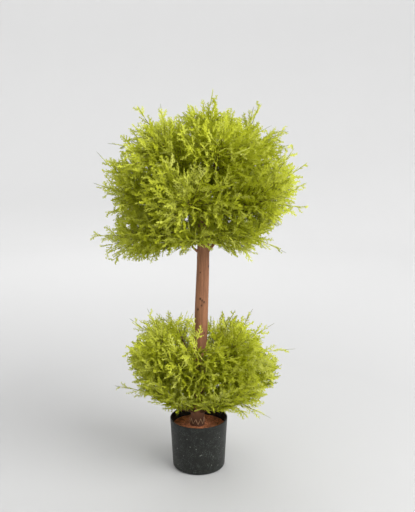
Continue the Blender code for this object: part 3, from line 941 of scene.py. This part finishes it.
def joined(*sets):
    """Several sets of curves as one."""
    fields = ("start", "middle", "end", "side")
    return Curves(*[np.concatenate([getattr(part, name) for part in sets]) for name in fields])


def branch(parents, rows, share, angle, roll, length, curl):
    """Curves that leave their parents at an angle, rolled round them, and curl forwards."""
    base = parents.points(share, rows)
    axis = parents.axes(share, rows)
    side = square_to(parents.side[rows], axis)
    out = side * np.cos(roll)[:, None] + np.cross(axis, side) * np.sin(roll)[:, None]
    lean = axis * np.cos(angle)[:, None] + out * np.sin(angle)[:, None]
    middle = base + lean * (length / 2)[:, None]
    end = base + unit(lean + axis * curl) * length[:, None]
    return Curves(base, middle, end, square_to(axis, lean))


def along_path(path, shares):
    """Points along a path of straight runs, at shares of its length."""
    points = np.array(path)
    runs = np.linalg.norm(np.diff(points, axis=0), axis=1)
    along = np.concatenate(((0,), np.cumsum(runs))) / runs.sum()
    return np.stack([np.interp(shares, along, points[:, k]) for k in range(3)], axis=1)


def tube_rings(curves, shares, sides, radii):
    """Rings of points round the curves: an array of curve, ring, corner and coordinate."""
    rings = np.empty((curves.count, len(shares), sides, 3))
    for index, (share, radius) in enumerate(zip(shares, radii)):
        along = np.full(curves.count, share)
        centre = curves.points(along)
        axis = curves.axes(along)
        side = square_to(curves.side, axis)
        normal = np.cross(axis, side)
        size = np.broadcast_to(radius, curves.count)[:, None]
        for corner in range(sides):
            turn = 2 * pi * corner / sides
            rings[:, index, corner] = centre + (side * cos(turn) + normal * sin(turn)) * size
    return rings


def ring_faces(rings, sides):
    """Triangles between neighbouring rings of one tube."""
    faces = []
    for low in range(0, (rings - 1) * sides, sides):
        high = low + sides
        for corner in range(sides):
            after = (corner + 1) % sides
            faces.append((low + corner, low + after, high + after))
            faces.append((low + corner, high + after, high + corner))
    return faces


def blunt_faces(rings, sides):
    """Triangles of one tube that is closed flat at both ends."""
    faces = ring_faces(rings, sides)
    top = (rings - 1) * sides
    for corner in range(1, sides - 1):
        faces.append((0, corner + 1, corner))
        faces.append((top, top + corner, top + corner + 1))
    return faces


def repeated(faces, vertices_each, count):
    """One shape's triangles, repeated for many shapes that follow on from each other."""
    steps = np.arange(count)[:, None, None] * vertices_each
    return (np.array(faces)[None] + steps).reshape(-1, 3)


def tubes(curves, segments, sides, root_radius, tip_radius, is_blunt=False):
    """Tapering tubes that end in a point at the curves' ends, or with a flat cut at both ends."""
    rings = segments + is_blunt
    shares = [step / segments for step in range(rings)]
    radii = [mix(root_radius, tip_radius, share) for share in shares]
    vertices = tube_rings(curves, shares, sides, radii).reshape(curves.count, -1, 3)
    if is_blunt:
        faces = blunt_faces(rings, sides)
    else:
        vertices = np.concatenate((vertices, curves.end[:, None]), axis=1)
        faces = ring_faces(rings, sides)
        tip = rings * sides
        for corner in range(sides):
            faces.append((tip - sides + corner, tip - sides + (corner + 1) % sides, tip))
    return vertices.reshape(-1, 3), repeated(faces, vertices.shape[1], curves.count)


# ---- spaces and limbs


class Space:
    """The share of space nearer to a limb's seed point than to any other, clear of limbs."""

    def __init__(self, limb, other_seeds):
        self.limb = limb
        normals = [(limb.seed - other).normalized() for other in other_seeds]
        offsets = [n.dot((limb.seed + other) / 2) for n, other in zip(normals, other_seeds)]
        self.normals = np.array(normals)
        self.offsets = np.array(offsets)

    def own(self, points):
        """Those of the points that lie inside."""
        rooms = (np.array(points) @ self.normals.T - self.offsets).min(axis=1)
        return [point for point, room in zip(points, rooms) if room > 0]

    def clear_of_limbs(self, points, margin=LIMB_MARGIN):
        """Which points lie clear of the trunk, the pot and the limb."""
        heights = points[:, 2]
        rise = heights - FILL_TOP
        share = np.clip(rise / (TRUNK_TOP - FILL_TOP), 0, 1)
        centre_x = TRUNK_FOOT_X + tan(TRUNK_LEAN) * rise + TRUNK_BOW * np.sin(pi * share)
        apart = np.hypot(points[:, 0] - centre_x, points[:, 1])
        in_trunk = (heights < TRUNK_TOP + margin) & (apart < between(TRUNK_RADII, heights) + margin)
        flat = np.hypot(points[:, 0], points[:, 1])
        in_pot = (flat < POT_RIM_RADIUS + margin) & (heights < POT_HEIGHT + margin)
        clear = ~(in_trunk | in_pot)
        path = np.array(self.limb.path)
        for start, end in zip(path, path[1:]):
            run = end - start
            along = np.clip((points - start) @ run / (run @ run), 0, 1)
            near = np.linalg.norm(points - start - along[:, None] * run, axis=1)
            clear &= near > BOUGH_ROOT_RADIUS + margin
        return clear

    def keeps(self, curves):
        """Which curves run clear of the trunk, the pot and the limb."""
        kept = np.ones(curves.count, bool)
        for share in CLEAR_SHARES:
            kept &= self.clear_of_limbs(curves.points(np.full(curves.count, share)))
        return kept


def grow_limbs(tier):
    """The tier's limbs, each a path that its mass grows on from and a seed point.

    The title is that of the ring's pieces. The trunk's top is shown with the highest ring.
    """
    limbs = []
    for ring in tier.rings:
        root = trunk_centre(ring.root)
        middle = trunk_centre(min(ring.height, TRUNK_TOP))
        title = f"{tier.name}_{'high' if ring.name == 'top' else ring.name}"
        for index in range(ring.count):
            azimuth = ring.azimuth + 360 * index / ring.count
            seed = Vector((middle.x, middle.y, ring.height))
            seed += direction(azimuth, 0) * ring.radius
            name = f"{tier.name}_{ring.name}"
            if ring.radius:
                name += f"_{index + 1}"
                tip = mix(root, seed, BOUGH_SHARE)
                sag = Vector((0, 0, -BOUGH_SAG * (tip - root).length))
                path = bend(root, (root + tip) / 2 + sag, tip, BOUGH_RINGS)
            else:
                path = [trunk_centre(TRUNK_TOP - BOUGH_TIP_RADIUS), root]
            limbs.append(Limb(name, title, path, seed, ring.radius > 0))
    return limbs


def reach_at(tier, azimuth, elevation):
    """The tier's reach that way, between its tables for the right, the left and the front."""
    turn = radians(azimuth)
    sides = [between(knots, elevation) for knots in (tier.left, tier.right)]
    beside = mix(*sides, (1 + cos(turn)) / 2)
    return mix(beside, between(tier.fore, elevation), max(0, -sin(turn)) ** 2)


def reach_towards(tier, arm):
    """The tier's reach along an arm from its heart."""
    rise = degrees(asin(arm.normalized().z))
    return reach_at(tier, degrees(atan2(arm.y, arm.x)), rise)


def limits_at(tier, azimuth):
    """The sines of the elevations between which the tier has plumes that way."""
    facing = -sin(radians(azimuth))
    ends = zip(tier.side, tier.front if facing > 0 else tier.back)
    return [sin(radians(mix(side, end, abs(facing)))) for side, end in ends]


def golden_targets(tier, count, shares, power, rng, offset=0):
    """Points inside the tier's outline, spread evenly round its heart by the golden angle.

    The shares are the nearest and the furthest, as shares of the reach that way. A power of
    3 spreads the points evenly through the room between the two.
    """
    heart = trunk_centre(tier.heart)
    targets = []
    for index in range(count):
        stray = rng.uniform(-AZIMUTH_STRAY, AZIMUTH_STRAY)
        azimuth = 180 * GOLDEN_TURN * index + stray + offset
        rise = mix(*limits_at(tier, azimuth), (index + 0.5) / count)
        elevation = degrees(asin(rise)) + rng.uniform(-ELEVATION_STRAY, ELEVATION_STRAY)
        nearest, furthest = (share**power for share in shares)
        reach = reach_at(tier, azimuth, elevation) * rng.uniform(nearest, furthest) ** (1 / power)
        targets.append(heart + direction(azimuth, elevation) * reach)
    return targets


def plume_targets(tier):
    """The tips of the longest shoots and of the plumes of the solids."""
    heart = trunk_centre(tier.heart)
    rng = random.Random(f"{SEED} {tier.name}")
    targets = [heart + direction(azimuth, rise) * reach for azimuth, rise, reach in tier.shoots]
    return targets + golden_targets(tier, tier.plumes, PLUME_LENGTHS, 1, rng)


def filler_targets(tier):
    """Places where shorter plumes could end, spread evenly through the crown."""
    rng = random.Random(f"{SEED} {tier.name} fillers")
    return golden_targets(tier, FILLER_OPTIONS, FILLER_SHARES, 3, rng, FILLER_OFFSET)


def stem_curve(limb, tier):
    """The stem that grows on from the limb's tip: its points and the way it ends up facing."""
    tip = limb.path[-1]
    heart = trunk_centre(tier.heart)
    lead = (tip - limb.path[-2]).normalized()
    outward = (limb.seed - tip).normalized()
    reach = float(reach_towards(tier, limb.seed - heart))
    length = max(STEM_SHARE * (reach - (tip - heart).length), STEM_SHORTEST)
    start = tip + lead * GAP
    points = bend(start, start + lead * length / 2, start + outward * length, STEM_RINGS)
    return points, outward


# ---- foliage


Foliage = namedtuple("Foliage", "plumes filaments stalks stalk_tints leaves leaf_tints")


def grow_plumes(limb, tier, targets, rng):
    """One plume to each target, from a root on the stem that is further out the more they align."""
    stem, outward = stem_curve(limb, tier)
    starts = []
    middles = []
    for target in targets:
        stray = rng.uniform(-ROOT_STRAY, ROOT_STRAY)
        spread = outward.angle(target - stem[0]) / PLUME_SPREAD + stray
        place = mix(PLUME_ROOTS[1], PLUME_ROOTS[0], max(0, min(1, spread))) * STEM_RINGS
        low = int(place)
        root = mix(stem[low], stem[low + 1], place - low)
        lead = (stem[low + 1] - stem[low]).normalized()
        length = (target - root).length
        heading = mix(lead, (target - root) / length, PLUME_TURN).normalized()
        starts.append(root)
        middles.append(root + heading * length * PLUME_BEND)
    return Curves(*(np.array(points).reshape(-1, 3) for points in (starts, middles, targets)))


def grow_fillers(limb, tier, targets, rng):
    """Shorter plumes, each rooted where its way to the target leaves the limb at a usual angle."""
    stem, _ = stem_curve(limb, tier)
    line = along_path([*limb.path, *stem[1:]], np.linspace(*FILLER_ROOTS, LINE_STEPS))
    lead = unit(np.gradient(line, axis=0))
    ends = np.array(targets).reshape(-1, 3)
    ways = ends[:, None] - line
    far = np.linalg.norm(ways, axis=2)
    angles = np.arccos(np.clip((ways * lead).sum(axis=2) / far, -1, 1))
    aim = FILLER_ANGLE + rng.uniform(-FILLER_STRAY, FILLER_STRAY, len(ends))[:, None]
    root = (np.abs(angles - aim) + SHORTNESS_PENALTY * (far < FILLER_SHORTEST)).argmin(axis=1)
    starts = line[root]
    length = np.linalg.norm(ends - starts, axis=1)[:, None]
    heading = unit(mix(lead[root], (ends - starts) / length, PLUME_TURN))
    return Curves(starts, starts + heading * length * PLUME_BEND, ends)


def leafy_from(plumes, leafy):
    """The share of each plume at which its leafy end starts."""
    return np.clip(1 - leafy / plumes.length, *LEAFY_FROM)


def leafy_points(plumes, leafy):
    """Points along the leafy end of each plume: an array of plume, point and coordinate."""
    first = leafy_from(plumes, leafy)
    steps = (np.arange(LEAFY_SAMPLES) + 0.5) / LEAFY_SAMPLES
    return np.stack([plumes.points(mix(first, 1, step)) for step in steps], axis=1)


def cover_of(places, points):
    """How well fronds round the points cover each of the places."""
    apart = ((places[:, None] - points) ** 2).sum(axis=2)
    return np.exp(-apart / FILLER_NEARNESS**2).sum(axis=1)


def choose_fillers(mains, options, count):
    """The options to keep: one by one, the one that ends where the fronds are thinnest."""
    places = options.end
    cover = np.zeros(len(places))
    for points in leafy_points(mains, sum(LEAFY_LENGTHS) / 2):
        cover += cover_of(places, points)
    points_of = leafy_points(options, FILLER_LEAFY)
    chosen = []
    for _ in range(count):
        row = int(cover.argmin())
        chosen.append(row)
        cover += cover_of(places, points_of[row])
        cover[row] += LEAFY_SAMPLES
    return np.array(chosen)


def sprout(parents, level, first, last, rng, length_of):
    """One level of growth, spaced evenly from a first to a last share of each parent.

    Gives the curves, which parent each is on, and the part of the way that it is along there.
    length_of gives the lengths from the rows, the shares, the parts and a random factor.
    """
    first = np.broadcast_to(first, parents.count)
    last = np.broadcast_to(last, parents.count)
    counts = np.maximum(1, np.rint(parents.length * (last - first) / level.step).astype(int))
    rows = np.repeat(np.arange(parents.count), counts)
    count = len(rows)
    order = np.arange(count) - np.repeat(np.cumsum(counts) - counts, counts)
    part = (order + rng.uniform(*STEP_STRAY, count)) / counts[rows]
    share = mix(first[rows], last[rows], part)
    roll = order * level.turn + rng.uniform(-level.roll, level.roll, count)
    angle = level.angle + rng.uniform(-level.stray, level.stray, count)
    length = length_of(rows, share, part, rng.uniform(*level.lengths, count))
    return branch(parents, rows, share, angle, roll, length, level.curl), rows, part


def grow_fronds(plumes, leafy, bare_from, rng):
    """Fronds all round the leafy end of each plume, shorter towards its tip."""

    def length_of(rows, share, part, factor):
        longest = np.minimum(plumes.length[rows] * FROND_RATIO, FROND_LONGEST)
        return longest * np.sin(pi * mix(FROND_SWELL, FROND_FALL, part)) * factor

    return sprout(plumes, FROND, leafy_from(plumes, leafy), bare_from, rng, length_of)


def grow_twigs(fronds, rng):
    """Short twigs in two rows along each frond, shorter towards its tip."""

    def length_of(rows, share, part, factor):
        longest = np.minimum(fronds.length[rows] * TWIG_RATIO, TWIG_LONGEST)
        return np.maximum(longest * np.sqrt(TWIG_TAPER_END - share) * factor, TWIG_SHORTEST)

    return sprout(fronds, TWIG, *TWIG_SPAN, rng, length_of)[:2]


def grow_leaves(stalks, rng):
    """Leaves in two loose rows along the fronds and twigs, and which of them each is on."""

    def length_of(rows, share, part, factor):
        size = np.clip(stalks.length[rows] * LEAF_RATIO, *LEAF_SIZES)
        return size * (factor * mix(1, LEAF_TIP_SHARE, share))

    return sprout(stalks, LEAF, *LEAF_SPAN, rng, length_of)[:2]


def grow_inner_leaves(plumes, leafy, space, rng):
    """Longer leaves all round the inner stretch of each plume, which close gaps to the sky."""

    def length_of(rows, share, part, factor):
        return factor

    bare = np.clip(1 - leafy / plumes.length, *INNER_FROM)
    inner = plumes.part(INNER_SPAN[0] * bare, np.minimum(INNER_SPAN[1] * bare, INNER_END))
    leaves = sprout(inner, INNER_LEAF, 0.0, 1.0, rng, length_of)[0]
    return leaves.only(space.clear_of_limbs(leaves.end, LEAF_MARGIN))


def as_tints(values):
    return np.clip(np.rint(values), 0, len(TINTS) - 1).astype(int)


def grow_foliage(tier, space, main, short, rng):
    """All that grows on one limb, with a tint for each stalk and leaf, dealt out by frond."""
    plumes = joined(main, short)
    count = plumes.count
    is_short = np.arange(count) >= main.count
    is_bare = (rng.random(count) < BARE_TIPS) & ~is_short
    bare = np.minimum(plumes.length * TIP_SHARE, BARE_LONGEST) * rng.uniform(*BARE_LENGTHS, count)
    bare_from = np.where(is_bare, 1 - bare / plumes.length, FROND_END)
    leafy = np.where(is_short, FILLER_LEAFY, rng.uniform(*LEAFY_LENGTHS, count))
    fronds, plume_of, part = grow_fronds(plumes, leafy, bare_from, rng)
    kept = space.clear_of_limbs(fronds.end, LEAF_MARGIN)
    fronds, plume_of, part = fronds.only(kept), plume_of[kept], part[kept]
    arms = [Vector(end) - trunk_centre(tier.heart) for end in plumes.end]
    depth = np.array([arm.length / reach_towards(tier, arm) for arm in arms])
    # Plumes that end deep in the crown get darker tints, outer ones paler: painted shade and
    # painted light
    of_plume = rng.normal(*PLUME_TINT, count) + DEPTH_SHADE_GAIN * (depth - MEAN_DEPTH)
    stray = rng.normal(0, FROND_TINT_STRAY, len(part))
    # Fronds get paler towards a plume's tip: painted light
    tint = of_plume[plume_of] + stray + FROND_LIGHT_GAIN * (part - 0.5)
    # The end of each plume is a frond as well
    tip_from = bare_from - FROND_LONGEST * TIP_FROND_SHARE / plumes.length
    fronds = joined(fronds, plumes.part(np.maximum(tip_from, TIP_FROND_FROM), bare_from))
    # The last frond of each plume is paler still: painted light
    tint = np.concatenate((tint, of_plume + TIP_LIGHT_GAIN))
    twigs, frond_of = grow_twigs(fronds, rng)
    stalks = joined(fronds, twigs)
    stalk_tints = as_tints(np.concatenate((tint, tint[frond_of] + TWIG_TINT_GAIN)))
    leaves, stalk_of = grow_leaves(stalks, rng)
    inner = grow_inner_leaves(plumes, leafy, space, rng)
    # Leaves on the inner stretch of each plume get the darkest tint: painted shade
    leaf_tints = np.concatenate((stalk_tints[stalk_of], np.zeros(inner.count, int)))
    filaments = plumes.part(bare_from, 1.0).only(is_bare)
    leaves = joined(leaves, inner)
    return Foliage(plumes.part(0.0, bare_from), filaments, stalks, stalk_tints, leaves, leaf_tints)


def leaf_blades(leaves, width):
    """Small pointed leaves, each two faces folded along its rib."""
    waist = np.full(leaves.count, LEAF_WAIST)
    centre = leaves.points(waist)
    axis = leaves.axes(waist)
    side = square_to(leaves.side, axis) * (width / 2)
    lift = np.cross(axis, side) * LEAF_FOLD
    corners = (leaves.start, centre + side + lift, leaves.end, centre - side + lift)
    vertices = np.stack(corners, axis=1).reshape(-1, 3)
    return vertices, repeated(((0, 1, 2), (0, 2, 3)), len(corners), leaves.count)


# ---- tiers


def limb_skin(path, is_bough):
    """A tapering tube along a path of points, with a collar where it leaves the trunk."""
    shares = np.linspace(0, 1, LIMB_RINGS)
    centres = along_path(path, shares)
    axes = unit(np.gradient(centres, axis=0))
    sides = square_to(across(axes), axes)
    normals = np.cross(axes, sides)
    root = BOUGH_ROOT_RADIUS if is_bough else BOUGH_TIP_RADIUS
    collar = 1 + COLLAR_SHARE * (1 - shares) ** COLLAR_SHARPNESS * is_bough
    radii = mix(root, STEM_TIP_RADIUS, shares**LIMB_TAPER) * collar
    turns = np.linspace(0, 2 * pi, LIMB_SIDES, endpoint=False)[None, :, None]
    offsets = sides[:, None] * np.cos(turns) + normals[:, None] * np.sin(turns)
    vertices = (centres[:, None] + offsets * radii[:, None, None]).reshape(-1, 3)
    return roughened(vertices, ROUGHNESS), blunt_faces(LIMB_RINGS, LIMB_SIDES)


def build_limbs(name, limbs, tier, material):
    """The boughs and stems of one ring, as tapering limbs with a rough bark."""
    paths = [[*limb.path, *stem_curve(limb, tier)[0][1:]] for limb in limbs]
    skins = [limb_skin(path, limb.is_bough) for path, limb in zip(paths, limbs)]
    piece = mesh_object(name, *stacked(skins), material, True)
    stand_for(piece, "bough", *[limb.name + "_bough" for limb in limbs if limb.is_bough])


def build_ring(name, grown, finishes):
    """The pieces of one ring of masses: plumes, bare tips, and sprays of needles by tint."""
    nodes = [limb.name + "_mass" for limb, _ in grown]

    def all_of(field):
        parts = [getattr(growth, field) for _, growth in grown]
        return np.concatenate(parts) if field.endswith("tints") else joined(*parts)

    def build(kind, shape, finish):
        piece = mesh_object(f"{name}_{kind}", *shape, finishes[finish])
        stand_for(piece, "foliage", *nodes)

    build("twigs", tubes(all_of("plumes"), *PLUME_TUBE), "twig")
    build("bare_tips", tubes(all_of("filaments"), *BARE_TIP_TUBE), "filament")
    all_stalks, stalk_tints = all_of("stalks"), all_of("stalk_tints")
    all_leaves, leaf_tints = all_of("leaves"), all_of("leaf_tints")
    for index, (_, width) in enumerate(TINTS):
        stalks = all_stalks.only(stalk_tints == index)
        is_long = stalks.length > LONG_TWIG
        long_cores = tubes(stalks.only(is_long), *FROND_TUBE)
        short_cores = tubes(stalks.only(~is_long), *TWIG_TUBE)
        blades = leaf_blades(all_leaves.only(leaf_tints == index), width)
        build(f"needles_{index + 1}", stacked([long_cores, short_cores, blades]), index)


def grow_tier(tier, limbs, seeds):
    """The foliage of each limb of the tier, by name, with the shorter plumes spread evenly."""
    targets = plume_targets(tier)
    places = filler_targets(tier)
    spaces, mains, options = [], [], []
    for number, limb in enumerate(limbs):
        space = Space(limb, [seed for seed in seeds if seed != limb.seed])
        main = grow_plumes(limb, tier, space.own(targets), random.Random(f"{SEED} {limb.name}"))
        option = grow_fillers(limb, tier, space.own(places), np.random.default_rng((SEED, number)))
        spaces.append(space)
        mains.append(main.only(space.keeps(main)))
        options.append(option.only(space.keeps(option)))
    chosen = choose_fillers(joined(*mains), joined(*options), tier.fillers)
    growth = {}
    first = 0
    for number, (limb, space, main, option) in enumerate(zip(limbs, spaces, mains, options)):
        after = first + option.count
        own = np.sort(chosen[(chosen >= first) & (chosen < after)]) - first
        rng = np.random.default_rng((SEED, len(tier.name), ord(tier.name[0]), number))
        growth[limb.name] = grow_foliage(tier, space, main, option.only(own), rng)
        first = after
    return growth


def build_tiers():
    grown = [(tier, grow_limbs(tier)) for tier in TIERS]
    seeds = [limb.seed for _, limbs in grown for limb in limbs]
    bough_bark = bough_finish()
    finishes = {"twig": plain("twig", TWIG_COLOUR, roughness=0.65)}
    finishes["filament"] = plain("bare_tip", BARE_TIP_COLOUR, roughness=0.6)
    for index, (tint, _) in enumerate(TINTS):
        finishes[index] = plain(f"needle_{index + 1}", tint, roughness=0.5, specular=0.26)
    for tier, limbs in grown:
        growth = grow_tier(tier, limbs, seeds)
        for title in dict.fromkeys(limb.title for limb in limbs):
            ring = [limb for limb in limbs if limb.title == title]
            build_limbs(title + "_boughs", ring, tier, bough_bark)
            build_ring(title, [(limb, growth[limb.name]) for limb in ring], finishes)


# ---- stage, light and camera


def build_stage():
    """A pale floor that curves up into a wall a long way off, all round, open at the top."""
    profile = straight((0, 0), (STAGE_FLOOR, 0), STAGE_RINGS[0])
    profile += arc((STAGE_FLOOR, STAGE_CURVE), STAGE_CURVE, -90, 0, STAGE_RINGS[1])
    profile.append((STAGE_FLOOR + STAGE_CURVE, STAGE_TOP))
    finish = Finish("stage", roughness=0.95, specular=0.1)
    colour = linear((STAGE_GREYS[0][1],) * 3)
    # Greys that grow paler out to the far wall: painted light
    for (near, _), (far, grey) in zip(STAGE_GREYS, STAGE_GREYS[1:]):
        share = finish.between(finish.spread(), near, far)
        colour = finish.blend(share, colour, linear((grey,) * 3))
    finish.give("Base Color", colour)
    turned("stage_floor", profile, STAGE_STEPS, finish.material, is_open=True)


def build_light():
    for name, place, aim, size, power in LIGHTS:
        data = bpy.data.lights.new(name, "AREA")
        data.shape = "DISK"
        data.size = size
        data.energy = power
        light = scene_object(name, data)
        light.location = place
        light.rotation_euler = (Vector(aim) - Vector(place)).to_track_quat("-Z", "Y").to_euler()
        light.visible_camera = False
    world = bpy.data.worlds.new("studio")
    world.use_nodes = True
    background = world.node_tree.nodes["Background"].inputs
    background["Color"].default_value = (1, 1, 1, 1)
    background["Strength"].default_value = WORLD_STRENGTH
    bpy.context.scene.world = world
    bpy.context.scene.view_settings.view_transform = "Standard"


def build_camera():
    data = bpy.data.cameras.new("camera")
    data.lens = CAMERA_LENS
    camera = scene_object("camera", data)
    camera.location = CAMERA_PLACE
    camera.rotation_euler = (pi / 2 - CAMERA_DIP, 0, 0)
    bpy.context.scene.camera = camera


# Vector noise differs from run to run unless it is seeded
noise.seed_set(SEED)
build_camera()
build_stage()
build_light()
build_pot()
build_fill()
build_granules()
bark = bark_finish()
build_trunk(bark)
build_stubs(bark)
build_fibres()
build_tiers()
